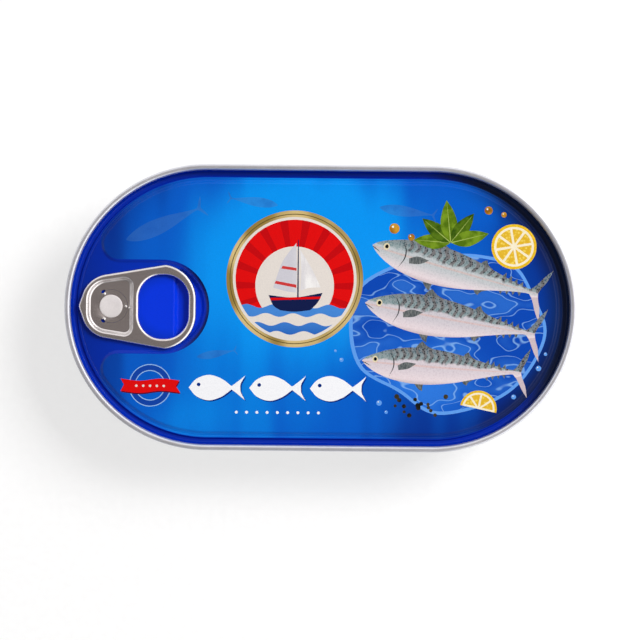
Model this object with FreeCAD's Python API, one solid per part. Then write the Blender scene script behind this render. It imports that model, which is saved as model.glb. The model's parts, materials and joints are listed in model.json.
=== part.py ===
"""An oval fish tin with a full-panel ring-pull lid, lying flat with the lid up.

Millimetres. The origin is at the middle of the base, +X runs along the length away
from the ring-pull, and +Z is up. The outline is two half circles joined by straight
sides. An upright section, in r and z, is carried round that track by carry_round(),
where r is the distance from the straight line between the centres of the two ends.

    can_body    the drawn body with its contents, up to the underside of the lid
    lid         the seamed easy-open end, with the rivet raised from its own metal
    ring_pull   the stamped tab that the rivet holds
"""

import FreeCAD, Part

import math
import os

V = FreeCAD.Vector

# ---- the tin, measured over the seam ----
tin_length = 149.0
tin_width = 83.4
tin_height = 25.5

# ---- the double seam, taken as one solid roll ----
seam_width = 1.5
seam_height = 2.9
seam_inner_radius = 0.5
seam_outer_radius = 0.75
seam_lip_radius = 0.4
seam_over_wall = 1.05  # how far the roll stands out over the body wall

# ---- the lid's sheet, from the seam inwards ----
lid_sheet = 0.25
chuck_lean = 0.6  # how far the wall inside the seam leans in
countersink_depth = 4.1  # below the top of the seam
countersink_width = 1.25
countersink_radius = 0.5
panel_depth = 2.95  # of the low panel, below the top of the seam
panel_wall_lean = 0.2
panel_edge_radius = 0.45
score_inset = 0.7  # tear line, in from the low panel's edge
score_width = 0.3
score_depth = 0.1

# ---- the raised panel, with a keyhole left low round the ring-pull ----
raised_height = 0.45
raised_wall_run = 0.6
raised_inset = 1.85  # of its top edge, in from the low panel's edge
lobe_radius = 4.4  # where it turns the corner on each side of the keyhole
keyhole_side_room = 1.4  # beside the ring-pull
keyhole_end_room = 3.85  # past the ring-pull's end, for a finger

# ---- the finger well, under the end of the ring ----
well_depth = 1.1  # below the low panel
well_wall_run = 1.2
well_inset = 0.4  # from the foot of the keyhole's wall
well_length = 10.6
well_corner_radius = 2.0

# ---- the rivet ----
rivet_from_end = 13.4
rivet_stem_radius = 1.9
rivet_head_radius = 3.35
rivet_head_height = 0.5
rivet_edge_radius = 0.2
rivet_boss_radius = 4.2
rivet_boss_height = 0.15
stem_clearance = 0.05

# ---- the ring-pull, along X from the rivet's axis ----
tab_width = 24.8
tab_height = 1.55
tab_top_radius = 0.55
tab_foot_radius = 0.3
nose_reach = 9.6
nose_radius = 1.0
shoulder_back = 6.6
shoulder_half_width = 8.5
shoulder_radius = 8.5
ring_reach = 24.85
ring_flare_set_in = 3.45
ring_flare_radius = 1.0
ring_corner_set_in = 1.8
ring_corner_tightness = 2.0
ring_bar_end = 2.25
ring_bar_side = 3.1
finger_hole_start = 8.1
finger_hole_radius = 6.8

# ---- the web, the ring-pull's sunk floor that the rivet goes through ----
web_front = 7.2
web_front_half_width = 7.2
web_front_radius = 6.4
web_back = 6.7
web_back_half_width = 9.3
web_back_radius = 2.8
web_sheet = 0.4
web_wall_run = 1.3
lance_radius = 4.85  # curved slit that lets the web bend round the rivet
lance_width = 0.2
lance_half_angle = 118.0
lance_end_radius = 0.45
pip_places = ((4.35, 0.0), (5.4, -0.5))
pip_radius = 0.2

# ---- the drawn body ----
wall_lean = 1.6  # how much the wall draws in from top to base
base_radius = 2.2
stand_width = 2.4
base_rise = 0.9
base_step_run = 0.8
base_step_radius = 0.5
inner_step_inset = 7.5
inner_step_rise = 0.5

# ---- how far a cutting solid passes the face that it cuts ----
overrun = 0.15

# ---- worked out from the sizes above ----
rim_r = tin_width / 2
end_x = tin_length / 2 - rim_r
wall_r = rim_r - seam_over_wall
seam_foot_z = tin_height - seam_height
countersink_z = tin_height - countersink_depth
low_z = tin_height - panel_depth
raised_z = low_z + raised_height

chuck_top_r = rim_r - seam_width
chuck_foot_r = chuck_top_r - chuck_lean
panel_wall_r = chuck_foot_r - countersink_width
panel_r = panel_wall_r - panel_wall_lean
score_r = panel_r - score_inset
join_r = score_r - score_width
raised_r = panel_r - raised_inset

rivet_x = -tin_length / 2 + rivet_from_end
tab_foot_z = low_z + rivet_boss_height
tab_top_z = tab_foot_z + tab_height
web_top_z = tab_foot_z + web_sheet

keyhole_r = tab_width / 2 + keyhole_side_room
keyhole_x = rivet_x + ring_reach + keyhole_end_room - keyhole_r


# ---- flat outlines: corners of (u, v, radius), listed anticlockwise ----
def unit(u, v):
    size = math.hypot(u, v)
    return u / size, v / size


def edge_directions(corners, i):
    """The directions of the edges into and out of corner i."""
    before = corners[i - 1]
    here = corners[i]
    after = corners[(i + 1) % len(corners)]
    way_in = unit(here[0] - before[0], here[1] - before[1])
    way_out = unit(after[0] - here[0], after[1] - here[1])
    return way_in, way_out


def grow(corners, shift):
    """Move every edge outwards by shift, keeping each arc on its own centre."""
    grown = []
    for i, (u, v, radius) in enumerate(corners):
        (au, av), (bu, bv) = edge_directions(corners, i)
        scale = shift / (1 + au * bu + av * bv)
        turn = au * bv - av * bu
        new_radius = 0.0
        if radius > 0 and turn > 0:
            new_radius = radius + shift
        if radius > 0 and turn < 0:
            new_radius = radius - shift
        grown.append((u + (av + bv) * scale, v - (au + bu) * scale, new_radius))
    return grown


def rounded_wire(corners, place):
    """Lines and arcs through the corners, with place(u, v) giving each point in space."""
    arcs = []
    for i, (u, v, radius) in enumerate(corners):
        (au, av), (bu, bv) = edge_directions(corners, i)
        half_turn = math.atan2(abs(au * bv - av * bu), au * bu + av * bv) / 2
        reach = radius * math.tan(half_turn)
        start = (u - au * reach, v - av * reach)
        end = (u + bu * reach, v + bv * reach)
        middle = None
        if radius > 0:
            inward_u, inward_v = unit(bu - au, bv - av)
            depth = radius / math.cos(half_turn) - radius
            middle = (u + inward_u * depth, v + inward_v * depth)
        arcs.append((start, middle, end))
    edges = []
    for i, (start, middle, end) in enumerate(arcs):
        if middle:
            edges.append(Part.Arc(place(*start), place(*middle), place(*end)).toShape())
        next_start = arcs[(i + 1) % len(arcs)][0]
        if math.dist(end, next_start) > 1e-6:
            edges.append(Part.makeLine(place(*end), place(*next_start)))
    return Part.Wire(edges)


def level(z):
    """Places a plan outline at height z."""
    return lambda x, y: V(x, y, z)


def mirrored(upper, on_axis=()):
    """Close an outline that is the same below the X axis as above it."""
    lower = [(x, -y, radius) for x, y, radius in reversed(upper)]
    return upper + list(on_axis) + lower


def tangent_corner(x, y, radius, from_angle, to_angle):
    """The corner of two tangents to a circle, which rounds back to its arc between them."""
    middle = math.radians((from_angle + to_angle) / 2)
    reach = radius / math.cos(math.radians(to_angle - from_angle) / 2)
    return x + reach * math.cos(middle), y + reach * math.sin(middle), radius


def slab(corners, bottom_z, top_z):
    wire = rounded_wire(corners, level(bottom_z))
    return Part.Face(wire).extrude(V(0, 0, top_z - bottom_z))


def sloped_slab(top_corners, top_z, depth, run, above, below):
    """A slab whose wall moves out by run over its depth, carried on straight past both."""
    slope = run / depth
    upper = rounded_wire(grow(top_corners, -above * slope), level(top_z + above))
    lower = rounded_wire(grow(top_corners, (depth + below) * slope), level(top_z - depth - below))
    return Part.makeLoft([lower, upper], True, True)


def carry_round(section):
    """Carry a section of (r, z, radius) corners round the tin's track."""
    face = Part.Face(rounded_wire(section, lambda r, z: V(end_x, r, z)))
    far_side = face.extrude(V(-2 * end_x, 0, 0))
    near_side = far_side.mirror(V(0, 0, 0), V(0, 1, 0))
    right_end = face.revolve(V(end_x, 0, 0), V(0, 0, 1), -180)
    left_end = right_end.mirror(V(0, 0, 0), V(1, 0, 0))
    return far_side.multiFuse([near_side, right_end, left_end]).removeSplitter()


def disc(radius, bottom_z, top_z, x=rivet_x, y=0.0):
    return Part.makeCylinder(radius, top_z - bottom_z, V(x, y, bottom_z))


def edges_at(shape, z):
    return [edge for edge in shape.Edges if all(abs(v.Z - z) < 1e-6 for v in edge.Vertexes)]


def lowered(shape, drop):
    return shape.translated(V(0, 0, -drop))


def write(node, shape):
    shape.exportStep(os.path.join("parts", node + ".step"))
    solids = len(shape.Solids)
    print(f"{node}: {solids} solid, valid {shape.isValid()}, {shape.Volume:.1f} mm3")


# ---- the lid ----
def lid_ring():
    """The seam, the wall inside it, the countersink and the low panel's edge."""
    above = [
        (join_r, low_z, 0),
        (panel_r, low_z, panel_edge_radius),
        (panel_wall_r, countersink_z, countersink_radius),
        (chuck_foot_r, countersink_z, countersink_radius),
        (chuck_top_r, tin_height, 0),
        (join_r, tin_height, 0),
    ]
    under = grow(above, lid_sheet)
    foot_r, foot_z, _ = under[3]
    top_r, top_z, _ = under[4]
    wall_at_seam_foot = foot_r + (top_r - foot_r) * (seam_foot_z - foot_z) / (top_z - foot_z)
    underside = [(join_r, low_z - lid_sheet, 0)] + under[1:4] + [(wall_at_seam_foot, seam_foot_z, 0)]
    seam = [
        (rim_r, seam_foot_z, seam_lip_radius),
        (rim_r, tin_height, seam_outer_radius),
        (chuck_top_r, tin_height, seam_inner_radius),
    ]
    return carry_round(underside + seam + above[3::-1])


def raised_outline():
    """The raised panel's top edge: the oval less the keyhole that opens to its left."""
    lobe_y = keyhole_r + lobe_radius
    lobe_reach = raised_r - lobe_radius
    lobe_x = -end_x - math.sqrt(lobe_reach**2 - lobe_y**2)
    lobe_angle = math.degrees(math.atan2(lobe_y, lobe_x + end_x))
    return mirrored([
        (end_x + raised_r, raised_r, raised_r),
        tangent_corner(-end_x, 0, raised_r, 90, lobe_angle),
        tangent_corner(lobe_x, lobe_y, lobe_radius, lobe_angle, 270),
        (keyhole_x + keyhole_r, keyhole_r, keyhole_r),
    ])


def well_outline():
    """The finger well's top edge: straight under the ring, round along the keyhole."""
    radius = keyhole_r - raised_wall_run - well_inset
    corner_x = keyhole_x + keyhole_r - well_length + well_corner_radius
    corner_reach = radius - well_corner_radius
    corner_y = math.sqrt(corner_reach**2 - (corner_x - keyhole_x) ** 2)
    corner_angle = math.degrees(math.atan2(corner_y, corner_x - keyhole_x))
    return mirrored([
        tangent_corner(keyhole_x, 0, radius, 0, corner_angle),
        tangent_corner(corner_x, corner_y, well_corner_radius, corner_angle, 180),
    ])


def lid_panel():
    """The sheet inside the tear line, with its raised panel and its finger well."""
    edge = [(end_x + join_r, join_r, join_r), (-end_x - join_r, join_r, join_r)]
    flat = slab(mirrored(edge), low_z - lid_sheet, low_z)
    half_sheet = lid_sheet / 2

    rise = (raised_outline(), raised_z, raised_height, raised_wall_run)
    raised = sloped_slab(*rise, above=0, below=half_sheet)
    hollow_under_raised = lowered(sloped_slab(*rise, above=0, below=overrun), lid_sheet)

    fall = (well_outline(), low_z, well_depth, -well_wall_run)
    well = sloped_slab(*fall, above=overrun, below=0)
    under_well = lowered(sloped_slab(*fall, above=half_sheet, below=0), lid_sheet)

    return flat.fuse(raised).cut(hollow_under_raised).fuse(under_well).cut(well)


def score_cutter():
    """The tear line: a fine groove all round the low panel."""
    widening = 1 + overrun / score_depth
    half_width = score_width / 2 * widening
    return carry_round([
        (score_r, low_z - score_depth, 0),
        (score_r + half_width, low_z + overrun, 0),
        (score_r - half_width, low_z + overrun, 0),
    ])


def rivet():
    """A boss, a stem and a flat head, all raised from the lid's own metal."""
    head_top_z = web_top_z + rivet_head_height
    head = disc(rivet_head_radius, web_top_z, head_top_z)
    head = head.makeFillet(rivet_edge_radius, edges_at(head, head_top_z))
    boss = disc(rivet_boss_radius, low_z - lid_sheet / 2, tab_foot_z)
    stem = disc(rivet_stem_radius, low_z, head_top_z)
    return boss.fuse(stem).fuse(head)


lid = lid_ring().fuse(lid_panel()).cut(score_cutter()).fuse(rivet()).removeSplitter()


# ---- the ring-pull ----
def ring_pull_outline():
    corner_y = tab_width / 2 - ring_corner_set_in
    corner_radius = tab_width / 2 - ring_corner_tightness
    flare_x = rivet_x + ring_reach - tab_width / 2 + ring_flare_set_in
    return mirrored([
        (rivet_x + ring_reach, corner_y, corner_radius),
        (flare_x, tab_width / 2, ring_flare_radius),
        (rivet_x - shoulder_back, shoulder_half_width, shoulder_radius),
    ], [(rivet_x - nose_reach, 0, nose_radius)])


def finger_hole_outline():
    start_x = rivet_x + finger_hole_start
    end_hole_x = rivet_x + ring_reach - ring_bar_end
    half_width = tab_width / 2 - ring_bar_side
    radius = min(finger_hole_radius, half_width, (end_hole_x - start_x) / 2)
    return mirrored([(end_hole_x, half_width, radius), (start_x, half_width, radius)])


def web_outline():
    """The top edge of the sunk floor: round at the nose, squarer towards the ring."""
    return mirrored([
        (rivet_x + web_back, web_back_half_width, web_back_radius),
        (rivet_x - web_front, web_front_half_width, web_front_radius),
    ])


def lance_cutter():
    """A slit most of the way round the rivet, with a small round hole at each end."""
    bottom_z = tab_foot_z - overrun
    top_z = web_top_z + overrun
    outer_r = lance_radius + lance_width / 2
    inner_r = lance_radius - lance_width / 2
    axis = V(rivet_x, 0, bottom_z)
    sweep = 2 * lance_half_angle
    cutter = Part.makeCylinder(outer_r, top_z - bottom_z, axis, V(0, 0, 1), sweep)
    cutter.rotate(axis, V(0, 0, 1), -lance_half_angle)
    cutter = cutter.cut(disc(inner_r, bottom_z, top_z))
    for side in (-1, 1):
        angle = math.radians(side * lance_half_angle)
        hole_x = rivet_x + lance_radius * math.cos(angle)
        hole_y = lance_radius * math.sin(angle)
        cutter = cutter.fuse(disc(lance_end_radius, bottom_z, top_z, hole_x, hole_y))
    return cutter


def ring_pull_solid():
    tab = slab(ring_pull_outline(), tab_foot_z, tab_top_z)
    tab = tab.cut(slab(finger_hole_outline(), tab_foot_z - overrun, tab_top_z + overrun))
    tab = tab.makeFillet(tab_top_radius, edges_at(tab, tab_top_z))
    tab = tab.makeFillet(tab_foot_radius, edges_at(tab, tab_foot_z))
    sink = tab_height - web_sheet
    tab = tab.cut(sloped_slab(web_outline(), tab_top_z, sink, -web_wall_run, overrun, 0))
    stem_hole = disc(rivet_stem_radius + stem_clearance, tab_foot_z - overrun, web_top_z + overrun)
    tab = tab.cut(stem_hole).cut(lance_cutter())
    for x, y in pip_places:
        tab = tab.fuse(Part.makeSphere(pip_radius, V(rivet_x + x, y, web_top_z)))
    return tab


# ---- the drawn body ----
def body_blank():
    """The body, filled, with straight leaning sides and a stepped base."""
    foot_r = wall_r - wall_lean
    stand_r = foot_r - base_radius - stand_width
    step_r = stand_r - base_step_run
    inner_r = step_r - inner_step_inset
    inner_z = base_rise + inner_step_rise
    return carry_round([
        (0, inner_z, 0),
        (inner_r - base_step_run, inner_z, base_step_radius),
        (inner_r, base_rise, base_step_radius),
        (step_r, base_rise, base_step_radius),
        (stand_r, 0, base_step_radius),
        (foot_r, 0, base_radius),
        (wall_r, raised_z, 0),
        (0, raised_z, 0),
    ])


def body_under(lid_solid):
    """The lid parts the blank in two, and the body is the large piece below it."""
    pieces = body_blank().cut(lid_solid).Solids
    return max(pieces, key=lambda piece: piece.Volume)


os.makedirs("parts", exist_ok=True)
write("lid", lid)
write("ring_pull", ring_pull_solid())
write("can_body", body_under(lid))
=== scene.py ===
# %% [markdown]
# # A tin of mackerel, lying lid up
#
# The real thing is a shallow oval tin pressed from aluminium. Its lid is one thin sheet:
# it climbs over the rim as a rolled seam, drops down the inside as a short wall, turns
# through a narrow groove and ends in a flat panel that carries the print. A ring-pull
# sits at one end, held by a rivet that is drawn up out of the lid's own metal.
#
# The solid model gives the sizes. This lesson dresses it: a pressed lid with its print,
# a rolled seam, a curled ring-pull, a rivet head, and the finish of each metal.

import json
import math
import random

import bpy
import numpy as np
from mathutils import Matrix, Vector
from mathutils.geometry import delaunay_2d_cdt

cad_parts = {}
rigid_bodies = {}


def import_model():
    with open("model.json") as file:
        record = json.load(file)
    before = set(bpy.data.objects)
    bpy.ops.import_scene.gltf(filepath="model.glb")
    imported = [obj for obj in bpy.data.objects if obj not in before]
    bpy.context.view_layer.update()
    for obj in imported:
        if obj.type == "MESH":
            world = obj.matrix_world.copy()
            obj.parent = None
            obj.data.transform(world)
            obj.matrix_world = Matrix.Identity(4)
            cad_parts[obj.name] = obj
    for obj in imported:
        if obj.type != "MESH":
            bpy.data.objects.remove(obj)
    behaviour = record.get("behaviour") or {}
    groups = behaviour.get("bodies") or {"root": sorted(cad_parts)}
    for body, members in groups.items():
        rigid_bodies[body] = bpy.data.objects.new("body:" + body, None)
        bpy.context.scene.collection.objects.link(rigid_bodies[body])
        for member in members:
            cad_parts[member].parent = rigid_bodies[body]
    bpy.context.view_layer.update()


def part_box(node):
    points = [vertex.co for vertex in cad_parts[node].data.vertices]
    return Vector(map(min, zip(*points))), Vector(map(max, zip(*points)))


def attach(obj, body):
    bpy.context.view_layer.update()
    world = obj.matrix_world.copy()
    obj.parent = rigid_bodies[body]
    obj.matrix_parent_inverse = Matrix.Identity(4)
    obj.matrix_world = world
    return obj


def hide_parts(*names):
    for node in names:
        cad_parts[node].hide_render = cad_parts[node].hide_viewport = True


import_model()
MM = 0.001

# %% [markdown]
# ## The sizes that the pieces share
#
# The overall sizes come from the solid model. The rest are the few that a toolmaker would
# write on the drawing of the lid and of the ring-pull. Everything is in millimetres here,
# and is turned into metres only when a mesh is made.

# %% Sizes of the tin and its lid
_, lid_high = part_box("lid")
pull_low, pull_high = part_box("ring_pull")

RIM_R = lid_high.y / MM
RIM_Z = lid_high.z / MM
# given as a number, because the small flats of the solid's round ends stop a hair inside it
TIN_LENGTH = 149.0
END_X = TIN_LENGTH / 2 - RIM_R

SEAM_WIDTH = 1.5
SEAM_HEIGHT = 2.9
SEAM_FOOT_Z = RIM_Z - SEAM_HEIGHT
SEAM_INNER_RADIUS = 0.72
SEAM_OUTER_RADIUS = 0.62
SEAM_LIP_RADIUS = 0.4
SEAM_DEPTH_INSIDE = 1.4
WALL_R = RIM_R - 1.05
SEAM_LIP_R = WALL_R - 0.6

SHEET = 0.25
INSIDE_TOP_R = RIM_R - SEAM_WIDTH
INSIDE_FOOT_R = INSIDE_TOP_R - 0.6
PRINT_END_R = INSIDE_TOP_R - 0.2
PRINT_END_Z = RIM_Z - SEAM_DEPTH_INSIDE
GROOVE_Z = RIM_Z - 3.6
GROOVE_RADIUS = 0.5
GROOVE_INNER_RADIUS = 0.28
PANEL_WALL_R = INSIDE_FOOT_R - 1.25
PANEL_R = PANEL_WALL_R - 0.05
PANEL_EDGE_RADIUS = 0.25
LOW_Z = RIM_Z - 2.95
SCORE_R = PANEL_R - 0.85
SCORE_WIDTH = 0.3
SCORE_DEPTH = 0.1

RAISED_HEIGHT = 0.45
RAISED_RUN = 1.1
RAISED_R = PANEL_R - 2.2
RAISED_LOBE = 4.4
print("rim radius", round(RIM_R, 2), "mm; low panel", round(LOW_Z, 2), "mm up")

# %% Sizes of the ring-pull and the hollow round it
RIVET_X = -TIN_LENGTH / 2 + 13.4
RING_END_X = pull_high.x / MM
TAB_WIDTH = (pull_high.y - pull_low.y) / MM
TAB_TOP_Z = pull_high.z / MM
TAB_FOOT_Z = pull_low.z / MM
WEB_Z = TAB_FOOT_Z + 0.4

KEYHOLE_SIDE_GAP = 1.4
KEYHOLE_END_GAP = 3.85
KEYHOLE_R = TAB_WIDTH / 2 + KEYHOLE_SIDE_GAP
KEYHOLE_X = RING_END_X + KEYHOLE_END_GAP - KEYHOLE_R
WELL_DEPTH = 1.1
WELL_RUN = 1.5
WELL_REACH = 10.6
WELL_R = KEYHOLE_R - 1.0
WELL_LEFT_X = KEYHOLE_X + KEYHOLE_R - WELL_REACH
WELL_CORNER = 2.0
print("ring-pull", round(TAB_WIDTH, 2), "mm wide, rivet at x =", round(RIVET_X, 2))

# %% [markdown]
# ## The camera
#
# The tin is looked at from straight above. The lens is long, so that the inside wall shows
# about evenly all the way round. It is turned by about half a degree.

# %% Camera
CAMERA_HEIGHT = 0.52
FRAME_WIDTH = 0.18612
FRAME_CENTRE_Y = -0.00344
CAMERA_TURN = math.radians(0.55)
SENSOR = 36.0
above_rim = CAMERA_HEIGHT - RIM_Z * MM

camera_data = bpy.data.cameras.new("camera")
camera_data.sensor_width = SENSOR
camera_data.lens = SENSOR * above_rim / FRAME_WIDTH
camera_data.clip_start = 0.05
camera_data.clip_end = 20.0
camera = bpy.data.objects.new("camera", camera_data)
camera.location = (0.0, FRAME_CENTRE_Y, CAMERA_HEIGHT)
camera.rotation_euler = (0.0, 0.0, CAMERA_TURN)
bpy.context.collection.objects.link(camera)
bpy.context.scene.camera = camera
print("lens", round(camera_data.lens, 1), "mm")

# %% [markdown]
# ## Outlines seen from above
#
# Every edge on the lid and the ring-pull is a straight run or an arc, so an outline is a
# short list of corners, each with a rounding radius. `grown` moves an outline outwards,
# and `drawn` walks round it and gives the points. `depth_inside` says how far a point
# lies inside a convex outline, which is what a press tool's height depends on.

# %% Outline tools
ARC_STEP = math.radians(2.5)
LINE_STEP = 5.0
TOUCHING = 1e-5


def unit(vector):
    return vector / np.linalg.norm(vector)


def corner_frames(corners):
    """For each corner: its place, its radius, and the directions into and out of it."""
    places = [np.array(corner[:2]) for corner in corners]
    frames = []
    for i, corner in enumerate(corners):
        way_in = unit(places[i] - places[i - 1])
        way_out = unit(places[(i + 1) % len(corners)] - places[i])
        frames.append((places[i], corner[2], way_in, way_out))
    return frames


def left_of(way):
    return np.array([-way[1], way[0]])


def grown(corners, shift):
    """The outline moved outwards all round, with its arcs on the same centres."""
    moved = []
    for place, radius, way_in, way_out in corner_frames(corners):
        turns_left = way_in @ left_of(way_out) < 0
        outwards = -(left_of(way_in) + left_of(way_out)) / (1 + way_in @ way_out)
        new_radius = radius + (shift if turns_left else -shift)
        moved.append((*(place + outwards * shift), max(new_radius, 0.0)))
    return moved


def rounded_corner(place, radius, way_in, way_out, arc_step=ARC_STEP):
    """Points along the arc that rounds a corner. Without a radius it is the corner alone."""
    turn = math.atan2(way_in[0] * way_out[1] - way_in[1] * way_out[0], way_in @ way_out)
    start = place - way_in * radius * math.tan(abs(turn) / 2)
    centre = start + math.copysign(radius, turn) * left_of(way_in)
    spoke = start - centre
    steps = max(1, math.ceil(abs(turn) / arc_step)) if radius > 0 else 0
    points = [start]
    for step in range(1, steps + 1):
        cos, sin = math.cos(turn * step / steps), math.sin(turn * step / steps)
        points.append(centre + np.array([cos * spoke[0] - sin * spoke[1],
                                         sin * spoke[0] + cos * spoke[1]]))
    return points


def straight(start, end):
    """Points along a line, close enough together for even shading."""
    length = np.linalg.norm(end - start)
    if length < TOUCHING:
        return [start]
    count = max(1, math.ceil(length / LINE_STEP))
    return [start + (end - start) * step / count for step in range(count + 1)]


def drawn(corners):
    """Points round an outline, anticlockwise."""
    points = []
    for corner in corner_frames(corners):
        arc = rounded_corner(*corner)
        if points:
            points += straight(points[-1], arc.pop(0))[1:]
        points += arc
    points += straight(points[-1], points[0])[1:-1]
    if np.linalg.norm(points[-1] - points[0]) < TOUCHING:
        points.pop()
    return np.array(points)


def mirrored(upper, on_axis=()):
    """Close an outline that is the same below the X axis as above it."""
    lower = [(x, -y, radius) for x, y, radius in reversed(upper)]
    return upper + list(on_axis) + lower


def tangent_corner(x, y, radius, from_angle, to_angle):
    """The corner of two tangents to a circle, which rounds back to its arc."""
    middle = math.radians((from_angle + to_angle) / 2)
    reach = radius / math.cos(math.radians(to_angle - from_angle) / 2)
    return x + reach * math.cos(middle), y + reach * math.sin(middle), radius


def circle(x, y, radius, count=48):
    angles = np.arange(count) * 2 * math.pi / count
    return np.stack([x + radius * np.cos(angles), y + radius * np.sin(angles)], 1)


def oval(radius):
    """The tin's own outline, drawn in or out to an end radius."""
    return mirrored([(END_X + radius, radius, radius), (-END_X - radius, radius, radius)])


def depth_inside(corners, points):
    """How far each point lies inside a convex rounded outline."""
    depth = np.full(len(points), np.inf)
    for place, _, way_in, _ in corner_frames(corners):
        depth = np.minimum(depth, (points - place) @ left_of(way_in))
    for place, radius, way_in, way_out in corner_frames(corners):
        turn = math.acos(np.clip(way_in @ way_out, -1, 1))
        centre = place - way_in * radius * math.tan(turn / 2) + left_of(way_in) * radius
        spoke = points - centre
        in_corner = (spoke @ way_in >= 0) & (spoke @ way_out <= 0)
        from_arc = np.where(in_corner, radius - np.linalg.norm(spoke, axis=1), np.inf)
        depth = np.minimum(depth, from_arc)
    return depth


def oval_radius(points):
    """Distance from the straight line between the two end centres."""
    past_end = np.maximum(np.abs(points[:, 0]) - END_X, 0)
    return np.hypot(past_end, points[:, 1])


def smooth_step(value):
    value = np.clip(value, 0, 1)
    return value * value * (3 - 2 * value)


print("outline of the tin:", len(drawn(oval(RIM_R))), "points")

# %% [markdown]
# ## How a mesh is made from outlines
#
# A press tool has one height at each point, so the lid is a map of heights. The outlines
# become the edges of a triangle net, close together where the metal bends and far apart
# where it is flat. A colour of print is then a patch of the net's own faces, bounded by
# its outline, so the print is as sharp as the mesh and nothing is laid over anything.

# %% Mesh tools
SHARP_ANGLE = math.radians(50)
INSIDE_LOOPS_ONLY = 1
MERGE_REACH = 1e-4
SECTION_ARC_STEP = math.radians(12)


def add_piece(mesh, finishes):
    """A piece with the name of its mesh and its materials, which rides on the tin."""
    for material in finishes:
        mesh.materials.append(material)
    piece = bpy.data.objects.new(mesh.name, mesh)
    bpy.context.collection.objects.link(piece)
    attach(piece, "root")
    return piece


def finish_mesh(name, points_mm, faces):
    mesh = bpy.data.meshes.new(name)
    mesh.from_pydata([tuple(float(c) * MM for c in point) for point in points_mm], [], faces)
    mesh.shade_smooth()
    mesh.set_sharp_from_angle(angle=SHARP_ANGLE)
    return mesh


def inside_loop(loop, points):
    """Which points lie inside a closed outline, by counting crossings."""
    inside = np.zeros(len(points), bool)
    x, y = points[:, 0], points[:, 1]
    for (ax, ay), (bx, by) in zip(loop, np.roll(loop, -1, axis=0)):
        crosses = (ay > y) != (by > y)
        if ay != by:
            inside ^= crosses & (x < (bx - ax) * (y - ay) / (by - ay) + ax)
    return inside


def pressed_sheet(name, loops, height, thickness, kept=None):
    """A closed sheet with its net through the loops. Also gives the net's face centres."""
    flat_points, edges = [], []
    for loop in loops:
        first = len(flat_points)
        flat_points += [Vector((float(x), float(y))) for x, y in loop]
        edges += [(first + i, first + (i + 1) % len(loop)) for i in range(len(loop))]
    net = delaunay_2d_cdt(flat_points, edges, [], INSIDE_LOOPS_ONLY, MERGE_REACH)
    corners, _, faces, *_ = net
    places = np.array([tuple(corner) for corner in corners])
    centres = np.array([places[list(face)].mean(0) for face in faces])
    if kept is not None:
        keep = kept(centres)
        faces = [face for face, wanted in zip(faces, keep) if wanted]
        centres = centres[keep]

    heights = height(places)
    used = sorted({corner for face in faces for corner in face})
    renumbered = {old: new for new, old in enumerate(used)}
    top = [(*places[old], heights[old]) for old in used]
    underside = [(x, y, z - thickness) for x, y, z in top]
    faces = [tuple(renumbered[corner] for corner in face) for face in faces]
    below = len(top)
    under_faces = [tuple(corner + below for corner in reversed(face)) for face in faces]
    sides = {(face[i - 1], face[i]) for face in faces for i in range(len(face))}
    rims = [(b, a, a + below, b + below) for a, b in sides if (b, a) not in sides]
    return finish_mesh(name, top + underside, faces + under_faces + rims), centres


def carried_round(name, section, outline_at):
    """A closed section of (size, z) points carried round the outline drawn at each size."""
    rings = [outline_at(size) for size, _ in section]
    around = len(rings[0])
    points = [(x, y, z) for ring, (_, z) in zip(rings, section) for x, y in ring]
    faces = []
    for row in range(len(section)):
        here = row * around
        there = (row + 1) % len(section) * around
        for i in range(around):
            j = (i + 1) % around
            faces.append((here + i, there + i, there + j, here + j))
    return finish_mesh(name, points, faces)


def rounded_path(corners):
    """Points along an open path of (u, v, radius) corners, whose two ends stay sharp."""
    points = [corners[0][:2]]
    for corner in corner_frames(corners)[1:-1]:
        points += rounded_corner(*corner, SECTION_ARC_STEP)
    points.append(corners[-1][:2])
    return np.array(points)


# %% [markdown]
# ## The lid's section
#
# One path runs from the flat panel, down through the groove, up the inside wall and over
# the rim. It is cut in two where the print ends: the panel's side goes into the pressed
# sheet, and the rest is the rolled seam. The seam is bare metal, thick because five
# layers are folded into it, and its lower lip turns in towards the wall of the tin.

# %% Section of the lid
panel_path = rounded_path([
    (SCORE_R + SCORE_WIDTH, LOW_Z, 0),
    (PANEL_R, LOW_Z, PANEL_EDGE_RADIUS),
    (PANEL_WALL_R, GROOVE_Z, GROOVE_INNER_RADIUS),
    (INSIDE_FOOT_R, GROOVE_Z, GROOVE_RADIUS),
    (PRINT_END_R, PRINT_END_Z, 0),
])
seam_path = rounded_path([
    panel_path[-1].tolist() + [0],
    (INSIDE_TOP_R, RIM_Z, SEAM_INNER_RADIUS),
    (RIM_R, RIM_Z, SEAM_OUTER_RADIUS),
    (RIM_R, SEAM_FOOT_Z, SEAM_LIP_RADIUS),
    (SEAM_LIP_R, SEAM_FOOT_Z, 0),
])
print("section:", len(panel_path), "points on the sheet,", len(seam_path), "on the seam")


# %% Heights of the pressed lid
def lobe_centre(radius, lobe, key):
    """The middle of the lobe that touches both the oval and the keyhole's straight side."""
    lobe_y = key + lobe
    return -END_X - math.sqrt((radius - lobe) ** 2 - lobe_y**2), lobe_y


def lobed_corners(radius, lobe, key):
    """An oval with a keyhole left out of its left end, and rounded lobes beside it."""
    lobe_x, lobe_y = lobe_centre(radius, lobe, key)
    lobe_angle = math.degrees(math.atan2(lobe_y, lobe_x + END_X))
    return mirrored([
        (END_X + radius, radius, radius),
        tangent_corner(-END_X, 0, radius, 90, lobe_angle),
        tangent_corner(lobe_x, lobe_y, lobe, lobe_angle, 270),
        (KEYHOLE_X + key, key, key),
    ])


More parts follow.
